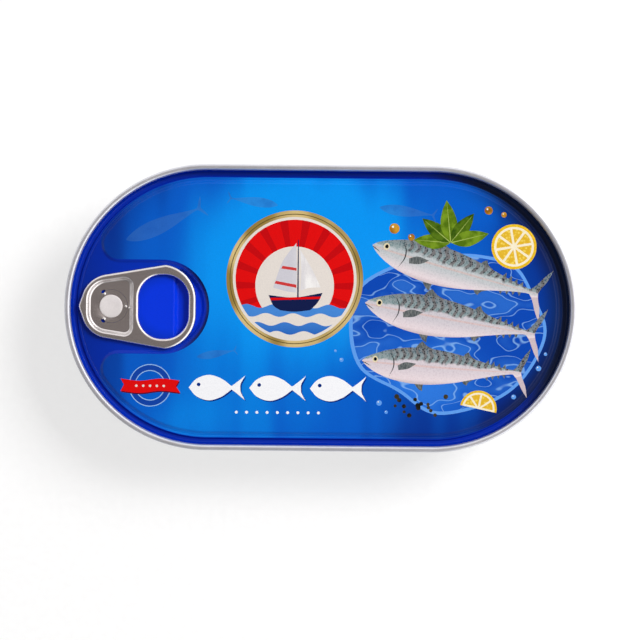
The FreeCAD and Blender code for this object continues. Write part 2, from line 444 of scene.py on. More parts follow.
def lobed_depth(points, radius, lobe, key):
    """How far a point lies inside that outline."""
    lobe_x, lobe_y = lobe_centre(radius, lobe, key)
    x, y = points[:, 0], np.abs(points[:, 1])
    depth = radius - oval_radius(points)
    past_disc = np.maximum(x - KEYHOLE_X, 0)
    depth = np.minimum(depth, np.hypot(past_disc, y) - key)
    from_lobe = np.stack([x, y], 1) - [lobe_x, lobe_y]
    outward = unit(np.array([lobe_x + END_X, lobe_y]))
    past_lobe = outward[0] * from_lobe[:, 1] - outward[1] * from_lobe[:, 0]
    in_corner = (from_lobe[:, 0] <= 0) & (past_lobe >= 0)
    return np.where(in_corner, lobe - np.linalg.norm(from_lobe, axis=1), depth)


def well_corners():
    """The finger well: straight across under the ring, round along the keyhole."""
    corner_x = WELL_LEFT_X + WELL_CORNER
    corner_y = math.sqrt((WELL_R - WELL_CORNER) ** 2 - (corner_x - KEYHOLE_X) ** 2)
    angle = math.degrees(math.atan2(corner_y, corner_x - KEYHOLE_X))
    return mirrored([
        tangent_corner(KEYHOLE_X, 0, WELL_R, 0, angle),
        tangent_corner(corner_x, corner_y, WELL_CORNER, angle, 180),
    ])


def lid_height(points):
    radius = oval_radius(points)
    height = np.interp(radius, panel_path[:, 0], panel_path[:, 1])
    height -= SCORE_DEPTH * np.clip(1 - np.abs(radius - SCORE_R) / (SCORE_WIDTH / 2), 0, 1)
    raised = lobed_depth(points, RAISED_R, RAISED_LOBE, KEYHOLE_R)
    height += RAISED_HEIGHT * smooth_step(1 + raised / RAISED_RUN)
    well = depth_inside(well_corners(), points)
    return height - WELL_DEPTH * smooth_step(well / WELL_RUN)


def wall_shifts(run, count=8, guard=0.12):
    """Where loops go across a sloping wall, with one more on the flat at each side."""
    return [-guard] + [run * step / count for step in range(count + 1)] + [run + guard]


lid_loops = [drawn(oval(radius)) for radius, _ in panel_path]
half_score = SCORE_WIDTH / 2
score_shifts = (-half_score - 0.1, -half_score, 0.0, half_score)
lid_loops += [drawn(oval(SCORE_R + shift)) for shift in score_shifts]
raised_corners = lobed_corners(RAISED_R, RAISED_LOBE, KEYHOLE_R)
lid_loops += [drawn(grown(raised_corners, shift)) for shift in wall_shifts(RAISED_RUN)]
lid_loops += [drawn(grown(well_corners(), -shift)) for shift in wall_shifts(WELL_RUN)]
print("lid:", len(lid_loops), "loops,", sum(len(loop) for loop in lid_loops), "points")

# %% [markdown]
# ## The print
#
# The print is plain coloured shapes on a blue field, as on any fish tin: a round badge
# with a sailing boat, a row of white fish, three mackerel on a splash of water with lemon
# and herbs, a small ribbon badge, and pale fish in the water. Each is an outline cut into
# the sheet's net. It could be painted on as a picture instead, but a picture blurs up
# close. Curves go through a few listed points; whatever repeats is made by a loop.

# %% Drawing tools for the print
def curve_through(points, steps=7):
    """A smooth open curve through the points, end to end."""
    points = np.array(points, float)
    padded = np.vstack([2 * points[0] - points[1], points, 2 * points[-1] - points[-2]])
    curve = []
    for i in range(len(points) - 1):
        a, b, c, d = padded[i : i + 4]
        for step in range(steps):
            t = step / steps
            curve.append(0.5 * (2 * b + (c - a) * t + (2 * a - 5 * b + 4 * c - d) * t**2
                                + (3 * b - a - 3 * c + d) * t**3))
    curve.append(points[-1])
    return np.array(curve)


def ring_through(points, steps=7):
    """A smooth closed curve through the points."""
    points = np.array(points, float)
    wrapped = np.vstack([points[-2:], points, points[:2]])
    return curve_through(wrapped, steps)[2 * steps : -steps - 1]


def joined(*curves):
    """Curves end to end as one closed outline, without doubled points."""
    loop = []
    for point in np.vstack(curves):
        if not loop or np.linalg.norm(point - loop[-1]) > TOUCHING:
            loop.append(point)
    if np.linalg.norm(loop[0] - loop[-1]) < TOUCHING:
        loop.pop()
    return np.array(loop)


def pointed(*runs):
    """A closed outline of smooth curves that meet end to end in points."""
    return joined(*[curve_through(run) for run in runs])


def placed(loop, x, y, size=1.0, turn=0.0):
    """An outline enlarged, turned by degrees and set down on the lid."""
    cos, sin = math.cos(math.radians(turn)), math.sin(math.radians(turn))
    spun = np.array(loop) @ np.array([[cos, sin], [-sin, cos]])
    return spun * size + [x, y]


stencils = []


def stencil(paint, loop, within=None):
    """Print a shape in one paint; later shapes lie over earlier ones."""
    stencils.append((paint, np.array(loop), within))


# %% The fish outlines
BACK = [(0, 0), (0.03, 0.022), (0.09, 0.046), (0.18, 0.071), (0.30, 0.087), (0.42, 0.086),
        (0.55, 0.072), (0.68, 0.048), (0.80, 0.024), (0.88, 0.013), (0.905, 0.012)]
BELLY = [(0.905, -0.012), (0.88, -0.013), (0.80, -0.026), (0.68, -0.052), (0.55, -0.080),
         (0.42, -0.097), (0.30, -0.099), (0.18, -0.084), (0.09, -0.057), (0.03, -0.026), (0, 0)]
TAIL_LOBE = [(0.905, 0.012), (0.93, 0.036), (0.965, 0.088), (1.0, 0.128)]
TAIL_FORK = [(1.0, 0.128), (0.984, 0.07), (0.962, 0.028), (0.952, 0.0)]


def flipped(points):
    return [(u, -v) for u, v in reversed(points)]


def mackerel_outline():
    return pointed(BACK, TAIL_LOBE, TAIL_FORK, flipped(TAIL_FORK), flipped(TAIL_LOBE), BELLY)


def mackerel_fins():
    """The fins that stand out from the outline, and the little finlets near the tail."""
    first_fin = pointed([(0.31, 0.080), (0.330, 0.106), (0.352, 0.122)],
                        [(0.352, 0.122), (0.385, 0.098), (0.44, 0.08)])
    second_fin = pointed([(0.60, 0.058), (0.615, 0.076), (0.632, 0.084)],
                         [(0.632, 0.084), (0.65, 0.062), (0.70, 0.04)])
    belly_fin = pointed([(0.315, -0.092), (0.345, -0.122), (0.372, -0.134)],
                        [(0.372, -0.134), (0.372, -0.11), (0.38, -0.09)])
    under_fin = second_fin * [1, -1] - [0, 0.004]
    fins = [first_fin, second_fin, belly_fin, under_fin]
    for number in range(4):
        u = 0.735 + 0.034 * number
        half = np.interp(u, [p[0] for p in BACK], [p[1] for p in BACK]) - 0.004
        finlet = np.array([(u, half), (u + 0.018, half + 0.021), (u + 0.024, half)])
        fins += [finlet, finlet * [1, -1]]
    return fins


SIDE_FIN = pointed([(0.215, -0.012), (0.26, 0.008), (0.325, 0.004)],
                   [(0.325, 0.004), (0.28, -0.024), (0.222, -0.036)])
GILL = pointed([(0.155, 0.060), (0.188, 0.025), (0.194, -0.02), (0.168, -0.072)],
               [(0.168, -0.072), (0.188, -0.02), (0.182, 0.025), (0.155, 0.060)])
MOUTH = pointed([(0.004, -0.004), (0.03, -0.012), (0.055, -0.024)],
                [(0.055, -0.024), (0.03, -0.016), (0.006, -0.008)])
print("mackerel outline:", len(mackerel_outline()), "points")


# %% The mackerel and the splash
STOUT = 1.16  # how much deeper a fish is than its drawn outline


def print_mackerel(x, y, length, turn, skin):
    """A mackerel with its middle at x, y, its nose towards the left and its tail turned."""
    def at(loop):
        return placed((np.array(loop) - [0.5, 0]) * [1, STOUT], x, y, length, turn)

    for fin in mackerel_fins():
        stencil("fin", at(fin))
    stencil(skin, at(mackerel_outline()))
    stencil("dark line", at(GILL))
    stencil("dark line", at(MOUTH))
    stencil("fin", at(SIDE_FIN))
    stencil("eye", at(circle(0.078, 0.012, 0.0165, 28)))
    stencil("pupil", at(circle(0.079, 0.012, 0.0095, 20)))


def print_drop(paint, x, y, radius, around):
    """A round drop with a point of light on it."""
    stencil(paint, circle(x, y, radius, around))
    stencil("glint", circle(x - 0.3 * radius, y + 0.35 * radius, 0.22 * radius, 12))


def blob_outline(x, y, width, height, wobble, seed, count=14):
    """A splash of water: an ellipse whose edge wanders in and out."""
    chance = random.Random(seed)
    knots = []
    for i in range(count):
        angle = 2 * math.pi * i / count
        reach = 1 + wobble * (chance.random() - 0.5)
        knots.append((x + width / 2 * reach * math.cos(angle),
                      y + height / 2 * reach * math.sin(angle)))
    return ring_through(knots)


FISHES = [
    dict(x=40.6, y=11.4, length=53.0, turn=-16.0),
    dict(x=39.2, y=-2.8, length=53.0, turn=-10.0),
    dict(x=36.8, y=-16.8, length=49.0, turn=-4.0),
]
SPLASH = dict(x=39.5, y=-6, wobble=0.26, seed=4)
DROPLETS = ((17.5, -27.5, 0.8), (19.6, -30.2, 0.5), (6.4, -15.0, 0.6), (4.6, -12.4, 0.4),
            (64.0, -17.0, 0.8), (66.0, -12.8, 0.5), (56.8, -25.4, 0.7))
stencil("splash rim", blob_outline(width=57.5, height=50, **SPLASH))
stencil("splash", blob_outline(width=55.5, height=48, **SPLASH))
for drop in DROPLETS:
    print_drop("splash rim", *drop, around=20)
for number, fish in enumerate(FISHES):
    print_mackerel(**fish, skin="skin " + str(number))
print("mackerel and splash:", len(stencils), "printed shapes")


# %% Lemon, herbs and peppercorns
WEDGES = 8
WEDGE_HALF_WIDTH = math.radians(18.5)
PITH_SHARE = 0.88
FLESH_SHARE = 0.78
FLESH_TIP = 0.13


def print_lemon(x, y, radius, turn, half=False):
    """A slice of lemon: rind, white pith and eight wedges. A half slice is seen in a window."""
    cut = None
    if half:
        line = math.radians(turn)
        away = np.array([math.cos(line), math.sin(line)]) * radius * 1.1
        across = np.array([-away[1], away[0]])
        here = np.array([x, y])
        cut = np.array([here - across, here - across + away, here + across + away, here + across])
    flesh_cut = None if cut is None else cut + away * 0.09
    stencil("rind", circle(x, y, radius), cut)
    stencil("pith", circle(x, y, radius * PITH_SHARE), cut)
    for wedge in range(WEDGES):
        angle = math.radians(turn + 360 / WEDGES * (wedge + 0.5))
        tip = np.array([math.cos(angle), math.sin(angle)]) * FLESH_TIP
        arc = np.linspace(angle - WEDGE_HALF_WIDTH, angle + WEDGE_HALF_WIDTH, 7)
        rim = FLESH_SHARE * np.stack([np.cos(arc), np.sin(arc)], 1)
        stencil("lemon", placed(joined([tip], rim), x, y, radius), flesh_cut)


LEAF_EDGE = [(0, 0), (0.2, 0.14), (0.45, 0.2), (0.75, 0.13), (1.0, 0.0)]
LEAF = pointed(LEAF_EDGE, flipped(LEAF_EDGE))
VEIN = [(0.02, -0.012), (0.9, -0.002), (0.9, 0.002), (0.02, 0.012)]


def print_leaf(x, y, length, turn, paint):
    stencil(paint, placed(LEAF, x, y, length, turn))
    stencil("vein", placed(VEIN, x, y, length, turn))


print_lemon(56.5, 18.5, 6.6, 10)
print_lemon(46.5, -29.0, 5.4, 78, half=True)
for length, turn, paint in ((11, 176, "leaf"), (11, 140, "leaf dark"), (12.5, 96, "leaf"),
                            (11, 52, "leaf dark"), (11.5, 14, "leaf")):
    print_leaf(38.0, 19.5, length, turn, paint)
chance = random.Random(11)
for grain in range(16):
    x = 22.0 + 15 * chance.random()
    y = -31.5 + 6 * chance.random()
    stencil("pepper", circle(x, y, 0.45 + 0.3 * chance.random(), 14))
for drop in ((21.5, 23.5, 1.5), (26.5, 21.0, 1.0), (49.0, 29.0, 1.2), (53.5, 27.8, 0.8)):
    print_drop("oil", *drop, around=28)
print("so far", len(stencils), "printed shapes")

# %% The round badge with a boat
BADGE_X, BADGE_Y, BADGE_R = -7.5, 8.5, 20.0


def badge_disc(radius):
    return circle(BADGE_X, BADGE_Y, radius, 120)


def wave_band(low, high, swing, length, phase):
    """A band right across the badge with wavy edges."""
    across = np.linspace(-BADGE_R, BADGE_R, 61)
    rolling = swing * np.sin(2 * math.pi * (across / length + phase))
    top = np.stack([BADGE_X + across, BADGE_Y + high + rolling], 1)
    bottom = np.stack([BADGE_X + across, BADGE_Y + low + rolling], 1)
    return joined(bottom, top[::-1])


BADGE_FRAME = 2.7
SUN_Y = BADGE_Y - 2.0
SUN_R = 11.5
RAYS = 18
for paint, inset in (("gold", 0.0), ("gold shade", 0.95), ("gold", 1.2), ("cream", 1.9),
                     ("red", BADGE_FRAME)):
    stencil(paint, badge_disc(BADGE_R - inset))
inner_disc = badge_disc(BADGE_R - BADGE_FRAME)
for ray in range(RAYS):
    tips = [math.radians(360 / RAYS * ray + lean) for lean in (-3.6, 3.6)]
    wedge = [(0, 0)] + [(BADGE_R * math.cos(tip), BADGE_R * math.sin(tip)) for tip in tips]
    stencil("deep red", placed(wedge, BADGE_X, SUN_Y), inner_disc)
stencil("cream", circle(BADGE_X, SUN_Y, SUN_R, 90), inner_disc)
for band in range(5):
    low = -8.0 - 2.6 * band
    paint = "sea" if band % 2 == 0 else "cream"
    stencil(paint, wave_band(low - 12, low, 0.55, 8.0, 0.3 * band), inner_disc)


# %% The boat
def boat(points):
    return placed(points, BADGE_X, BADGE_Y - 6.0)


hull = pointed([(-7.6, 1.2), (-6.2, -1.8), (-4.2, -3.2)], [(-4.2, -3.2), (0.0, -3.6), (4.6, -3.1)],
               [(4.6, -3.1), (6.8, -0.8), (8.2, 2.0)], [(8.2, 2.0), (0.0, 0.6), (-7.6, 1.2)])
main_sail = pointed([(0.5, 2.0), (0.55, 9.0), (0.4, 16.5)], [(0.4, 16.5), (-3.6, 11.0), (-6.3, 3.4)],
                    [(-6.3, 3.4), (-2.6, 2.4), (0.5, 2.0)])
fore_sail = pointed([(1.5, 14.6), (5.0, 9.0), (7.6, 3.6)], [(7.6, 3.6), (4.2, 3.4), (1.7, 2.6)],
                    [(1.7, 2.6), (1.9, 8.6), (1.5, 14.6)])
stencil("navy", boat(hull))
stencil("red", boat([(-7.2, 0.4), (-6.9, -0.3), (7.5, 0.2), (7.7, 0.9)]))
stencil("navy", boat([(0.75, 0.6), (1.2, 0.6), (1.1, 17.4), (0.85, 17.4)]))
stencil("sail", boat(main_sail))
stencil("sail", boat(fore_sail))
stencil("sail shade", boat([(-5.9, 4.6), (0.5, 3.4), (0.5, 4.3), (-5.5, 5.4)]))
stencil("sail shade", boat([(-4.0, 9.0), (0.5, 8.4), (0.5, 9.2), (-3.6, 9.8)]))
print("badge done:", len(stencils), "printed shapes")


# %% White fish in a row, a ribbon badge, and pale fish in the water
HALF_FISH = ([(0, 0), (0.14, 0.155), (0.36, 0.225), (0.58, 0.16), (0.76, 0.03)],
             [(0.76, 0.03), (0.88, 0.12), (1.0, 0.22)],
             [(1.0, 0.22), (0.925, 0.08), (0.915, 0.0)])
BOLD_FISH = pointed(*HALF_FISH, *[flipped(run) for run in reversed(HALF_FISH)])
ROW_START, ROW_STEP, ROW_Y = -38.2, 17.7, -23.5
ROW_FISH_LENGTH = 16.5
ROW_SHADOW = 0.35
DOTS_Y = -30.6
for number in range(3):
    x = ROW_START + ROW_STEP * number
    stencil("shade", placed(BOLD_FISH, x + ROW_SHADOW, ROW_Y - ROW_SHADOW, ROW_FISH_LENGTH))
    stencil("white", placed(BOLD_FISH, x, ROW_Y, ROW_FISH_LENGTH))
    stencil("shade", circle(x + 2.9, ROW_Y + 0.9, 0.55, 18))
for dot in range(9):
    stencil("white", circle(-24.2 + 3.0 * dot, DOTS_Y, 0.42, 16))

SEAL_X, SEAL_Y, SEAL_R = -49.5, -23.0, 6.2
stencil("seal line", circle(SEAL_X, SEAL_Y, SEAL_R, 72))
stencil("seal", circle(SEAL_X, SEAL_Y, SEAL_R - 0.25, 72))
stencil("seal line", circle(SEAL_X, SEAL_Y, SEAL_R - 1.75, 60))
stencil("field", circle(SEAL_X, SEAL_Y, SEAL_R - 2.0, 60))
ribbon_top = curve_through([(-8.6, 1.9), (-3.0, 1.3), (3.0, 2.0), (8.6, 1.5)])
ribbon = joined(ribbon_top, [(7.6, -0.2), (8.8, -2.0)],
                ribbon_top[::-1] - [0, 3.6], [(-7.6, 0.2)])
stencil("ribbon shade", placed(ribbon, SEAL_X + 0.15, SEAL_Y - 0.35))
stencil("red", placed(ribbon, SEAL_X, SEAL_Y))
for dot in range(5):
    stencil("cream", circle(SEAL_X - 4.0 + 2.0 * dot, SEAL_Y - 0.15, 0.38, 14))

for x, y, length, turn in ((-45.5, 24.5, 25, 24), (-20.0, 31.0, 15, 172), (25.5, 28.5, 17, -8),
                           (-30.0, -13.5, 12, 10)):
    stencil("pale fish", placed(mackerel_outline() - [0.5, 0], x, y, length, turn))
print("all", len(stencils), "printed shapes")

# %% [markdown]
# ## Node materials, in plain steps
#
# Each finish is a short recipe of nodes. They all read the piece's own place in
# millimetres, so a grain or a stripe has a real size and stays put when the camera moves.
# A node takes one line to make, so a whole finish reads from top to bottom as a recipe.

# %% A helper for recipes
NO_HEIGHT = 1e5  # a size so large that heights drop out of a shape's coordinates


def srgb(red, green, blue):
    """A colour from 0 to 255, as the linear values that the renderer works in."""
    channels = []
    for value in (red / 255, green / 255, blue / 255):
        channels.append(value / 12.92 if value <= 0.04045 else ((value + 0.055) / 1.055) ** 2.4)
    return (*channels, 1.0)


def feed(tree, socket, value):
    """Join a socket to another one, or set it to a plain number or colour."""
    if isinstance(value, bpy.types.NodeSocket):
        tree.links.new(value, socket)
    else:
        socket.default_value = value


def add_node(tree, kind, inputs=(), **settings):
    """A node with its settings made and its inputs filled, by their place or name."""
    node = tree.nodes.new(kind)
    for key, value in settings.items():
        setattr(node, key, value)
    named = inputs if isinstance(inputs, dict) else dict(enumerate(inputs))
    for key, value in named.items():
        feed(tree, node.inputs[key], value)
    return node


class Recipe:
    """The nodes of one material. Each step returns a socket to feed to the next."""

    def __init__(self, name, roughness, metal=0.0):
        self.material = bpy.data.materials.new(name)
        self.material.use_nodes = True
        self.tree = self.material.node_tree
        self.tree.nodes.clear()
        self.surface = self.add("ShaderNodeBsdfPrincipled")
        self.surface.inputs["Roughness"].default_value = roughness
        self.surface.inputs["Metallic"].default_value = metal
        self.add("ShaderNodeOutputMaterial", [self.surface.outputs["BSDF"]])
        own_place = self.add("ShaderNodeTexCoord").outputs["Object"]
        self.place = self.scaled(own_place, (1 / MM, 1 / MM, 1 / MM))

    def add(self, kind, inputs=(), **settings):
        return add_node(self.tree, kind, inputs, **settings)

    def give(self, name, value):
        """Feed one input of the surface."""
        feed(self.tree, self.surface.inputs[name], value)

    def scaled(self, vector, sizes):
        return self.add("ShaderNodeVectorMath", [vector, sizes], operation="MULTIPLY").outputs[0]

    def maths(self, operation, *values):
        return self.add("ShaderNodeMath", values, operation=operation).outputs[0]

    def between(self, value, low, high):
        """0 at low, 1 at high, and a smooth climb between; low may be the larger."""
        node = self.add("ShaderNodeMapRange", [value, low, high], interpolation_type="SMOOTHSTEP")
        return node.outputs["Result"]

    def mix(self, factor, first, second, kind="MIX"):
        node = self.add("ShaderNodeMix", {0: factor, 6: first, 7: second},
                        data_type="RGBA", blend_type=kind)
        return node.outputs[2]

    def wash(self, colour, cover, strength, red_green_blue):
        """A colour with another laid thinly over it wherever the cover is 1."""
        return self.mix(self.maths("MULTIPLY", cover, strength), colour, srgb(*red_green_blue))

    def noise(self, size, detail=2.0, stretch=(1, 1, 1)):
        """Cloudy values with features about this many millimetres across."""
        place = self.scaled(self.place, stretch)
        node = self.add("ShaderNodeTexNoise", {"Vector": place, "Scale": 1 / size, "Detail": detail})
        return node.outputs["Fac"]

    def cells(self, size):
        """Distance from the nearest of many scattered points."""
        node = self.add("ShaderNodeTexVoronoi", {"Vector": self.place, "Scale": 1 / size})
        return node.outputs["Distance"]

    def local(self, x, y, size, turn=0.0, tall=None):
        """Coordinates of a shape set down on the lid at x, y and turned by degrees."""
        inputs = [self.place, (x, y, 0), (0, 0, math.radians(turn)), (size, tall or size, NO_HEIGHT)]
        return self.add("ShaderNodeMapping", inputs, vector_type="TEXTURE").outputs["Vector"]

    def parts(self, vector):
        node = self.add("ShaderNodeSeparateXYZ", [vector])
        return node.outputs["X"], node.outputs["Y"], node.outputs["Z"]

    def far(self, vector):
        return self.add("ShaderNodeVectorMath", [vector], operation="LENGTH").outputs["Value"]

    def near(self, x, y, reach_x, reach_y):
        """1 at a point on the lid, falling smoothly to 0 at an ellipse round it."""
        return self.between(self.far(self.local(x, y, reach_x, tall=reach_y)), 1.0, 0.0)

    def near_band(self, value, middle, reach):
        """1 where a value is at the middle, 0 once it is further off than the reach."""
        off = self.maths("ABSOLUTE", self.maths("SUBTRACT", value, middle))
        return self.between(off, reach, 0.0)

    def from_middle(self):
        """How far out a point of the lid is, in the ovals that its rim follows."""
        x, y, _ = self.parts(self.place)
        past_end = self.maths("SUBTRACT", self.maths("ABSOLUTE", x), END_X)
        past_end = self.maths("MAXIMUM", past_end, 0.0)
        squares = self.maths("MULTIPLY_ADD", y, y, self.maths("MULTIPLY", past_end, past_end))
        return self.maths("SQRT", squares)

    def bump(self, height, depth_mm):
        node = self.add("ShaderNodeBump", {"Strength": 1.0, "Distance": depth_mm * MM,
                                           "Height": height})
        self.give("Normal", node.outputs["Normal"])


# %% [markdown]
# ## Inks under clear lacquer
#
# The lid is printed flat and lacquered before it is pressed. So every ink has the same
# gloss, with the faint ripple of a rolled lacquer, and only the colour changes.

# %% Ink recipes
INK_ROUGHNESS = 0.20
INK_WEAR = 0.08
LACQUER_GLOSS = 0.2
LACQUER_RIPPLE = 0.004


def printed(name, tone):
    """One ink. The tone is a plain colour, or a function that draws one with nodes."""
    ink = Recipe(name, INK_ROUGHNESS)
    colour = tone(ink) if callable(tone) else srgb(*tone)
    mottle = ink.between(ink.noise(0.3, 3.0), 0.3, 0.7)
    grained = ink.mix(1.0, colour, (0.93, 0.93, 0.94, 1.0), "MULTIPLY")
    ink.give("Base Color", ink.mix(mottle, colour, grained))
    wear = ink.between(ink.noise(9.0, 3.0), 0.25, 0.75)
    ink.give("Roughness", ink.maths("MULTIPLY_ADD", wear, INK_WEAR, INK_ROUGHNESS - INK_WEAR / 2))
    ink.surface.inputs["Specular IOR Level"].default_value = LACQUER_GLOSS
    ink.bump(ink.noise(1.6, 2.0), LACQUER_RIPPLE)
    return ink.material


def field_tone(ink):
    """Sea blue: brightest left of the middle, deep at the left end and under the rim."""
    level = -0.30
    # soft ellipses of light: the middle of each, how far it reaches, and its strength
    for x, y, reach_x, reach_y, strength in (
        (-19.6, -19.7, 76.4, 90.0, 0.87),
        (-0.3, 23.4, 67.7, 50.2, 1.14),
        (62, -6, 60, 60, 0.34),
        (-44, -34, 26, 14, 0.18),
        (47, 33, 22, 12, 0.22),
    ):
        glow = ink.near(x, y, reach_x, reach_y)
        level = ink.maths("MULTIPLY_ADD", glow, strength, level)
    sunbeams = ink.between(ink.noise(10.0, 1.0, (1.0, 0.12, 1.0)), 0.3, 0.7)
    level = ink.maths("MULTIPLY_ADD", sunbeams, 0.20, level)
    colour = ink.mix(ink.between(level, -0.1, 0.45), srgb(1, 44, 138), srgb(1, 92, 200))
    colour = ink.mix(ink.between(level, 0.4, 1.05), colour, srgb(1, 148, 242))
    colour = ink.wash(colour, ink.near(28, 0, 34, 26), 0.35, (40, 160, 236))
    x, _, _ = ink.parts(ink.place)
    under_rim = ink.between(ink.from_middle(), 31, 37.5)
    edge = ink.maths("MULTIPLY", ink.between(x, 36, 60), under_rim)
    return ink.wash(colour, edge, 0.85, (12, 24, 58))


def keyhole_tone(ink):
    """Deep blue, darker towards the left end; painted light under and just right of the ring, painted
    shade in the groove and on the keyhole's step, and a nearly black right end of the groove that is
    partly print and partly painted shade.
    """
    x, y, _ = ink.parts(ink.place)
    colour = ink.mix(ink.between(x, -72, -52), srgb(1, 40, 148), srgb(0, 47, 178))
    # painted light: a brighter pool under the ring, standing in for light that the ring's shadow
    # takes away
    painted_light_under_ring = ink.between(ink.near(-44, 0, 16, 13.5), 0.0, 0.6)
    colour = ink.mix(painted_light_under_ring, colour, srgb(2, 54, 224))
    # painted shade: the groove is a little darker than the keyhole
    painted_groove_shade = ink.between(ink.from_middle(), 37.6, 38.6)
    colour = ink.mix(painted_groove_shade, colour, srgb(2, 44, 168))
    # the right end of the groove goes nearly black: partly the print's dark edge, partly painted
    # shade
    right_end_print_and_shade = ink.between(ink.maths("MULTIPLY_ADD", y, 0.35, x), 40, 62)
    colour = ink.mix(right_end_print_and_shade, colour, srgb(24, 38, 76))
    # painted light: a brighter spot just right of the ring
    colour = ink.mix(ink.near(-34.5, 0, 6, 10), colour, srgb(0, 54, 222))
    # painted shade along the right side of the keyhole's raised step
    from_key = ink.far(ink.local(KEYHOLE_X, 0, 1.0))
    on_step = ink.near_band(from_key, KEYHOLE_R - 0.3, 1.3)
    painted_step_shade = ink.maths("MULTIPLY", on_step, ink.between(x, -43, -35))
    return ink.wash(colour, painted_step_shade, 0.9, (0, 12, 60))


def splash_tone(ink):
    """Splashed water: bright ripple lines over deep blue, paler in front."""
    wander = ink.noise(9.0, 1.0, (0.8, 1.5, 1.0))
    ripples = ink.maths("MAXIMUM", ink.near_band(wander, 0.43, 0.014),
                        ink.near_band(wander, 0.56, 0.018))
    colour = ink.mix(ink.near(28, -22, 30, 22), srgb(6, 70, 178), srgb(30, 110, 218))
    colour = ink.wash(colour, ink.between(wander, 0.4, 0.65), 0.4, (60, 136, 230))
    return ink.wash(colour, ripples, 0.6, (150, 200, 248))


BAR_WAVES = 150.0  # how closely the bars follow one another along a fish
BAR_SWAYS = 105.0  # how often a bar bends to and fro on its way down the side


def skin_tone(ink, fish, light):
    """A mackerel: wavy bars on a slate back, then silver, then a pink-white belly."""
    length = fish["length"]
    place = ink.local(fish["x"], fish["y"], length, fish["turn"], tall=length * STOUT)
    u, v, _ = ink.parts(place)
    # the height is 1 along the back and -1 along the belly, from a curve like the outline
    from_thickest = ink.maths("DIVIDE", ink.maths("ADD", u, 0.14), 0.62)
    half_depth = ink.maths("MULTIPLY_ADD", ink.maths("POWER", from_thickest, 2.0), -0.085, 0.097)
    height = ink.maths("DIVIDE", v, half_depth)
    sway = ink.maths("SINE", ink.maths("MULTIPLY", v, BAR_SWAYS))
    rough = ink.noise(2.4, 3.0)
    along = ink.maths("MULTIPLY_ADD", u, BAR_WAVES, ink.maths("MULTIPLY", sway, 1.1))
    along = ink.maths("MULTIPLY_ADD", ink.noise(5.0, 1.0), 4.0, along)
    bars = ink.between(ink.maths("SINE", along), -0.15, 0.25)
    body = ink.between(u, -0.36, -0.28)
    belly = ink.mix(ink.between(height, -1.0, -0.1), srgb(232, 214, 218), srgb(*light))
    slate = ink.mix(ink.between(height, 0.95, 0.1), srgb(44, 76, 92), srgb(112, 140, 142))
    back = ink.mix(ink.maths("MULTIPLY", bars, body), slate, srgb(16, 26, 34))
    edge = ink.maths("MULTIPLY_ADD", rough, 0.55, ink.maths("SUBTRACT", height, 0.38))
    colour = ink.mix(ink.between(edge, -0.02, 0.16), belly, back)
    colour = ink.wash(colour, ink.near_band(height, -0.06, 0.09), 0.45, (214, 150, 128))
    scales = ink.between(ink.cells(0.55), 0.15, 0.6)
    colour = ink.wash(colour, scales, 0.18, (255, 250, 250))
    return ink.wash(colour, ink.between(height, -0.75, -1.05), 0.35, (120, 96, 110))


def flesh_tone(ink):
    fibres = ink.between(ink.cells(0.9), 0.1, 0.55)
    return ink.mix(fibres, srgb(246, 218, 96), srgb(226, 180, 44))


def patchy_tone(dark, light, size=2.6, detail=3.0, stretch=(1, 1, 1), softness=0.15):
    """Patches of two colours: on a leaf, along a fin's rays, or in bent gold foil."""
    def tone(ink):
        cloud = ink.noise(size, detail, stretch)
        patches = ink.between(cloud, 0.5 - softness, 0.5 + softness)
        return ink.mix(patches, srgb(*dark), srgb(*light))
    return tone


def sea_tone(ink):
    _, y, _ = ink.parts(ink.place)
    return ink.mix(ink.between(y, -12, 0), srgb(22, 84, 178), srgb(70, 136, 214))


def sail_tone(ink):
    x, _, _ = ink.parts(ink.place)
    folds = ink.between(ink.noise(3.5, 2.0, (2.0, 0.5, 1.0)), 0.35, 0.65)
    lit = ink.mix(folds, srgb(226, 222, 222), srgb(246, 244, 242))
    return ink.mix(ink.between(x, -9, -3), srgb(206, 204, 212), lit)


def pale_fish_tone(ink):
    """A fish seen through water: the field's own blue, greyed and a little darker above."""
    misty = ink.mix(0.34, field_tone(ink), srgb(64, 116, 178))
    return ink.wash(misty, ink.between(ink.noise(4.0, 2.0), 0.45, 0.7), 0.3, (14, 76, 170))


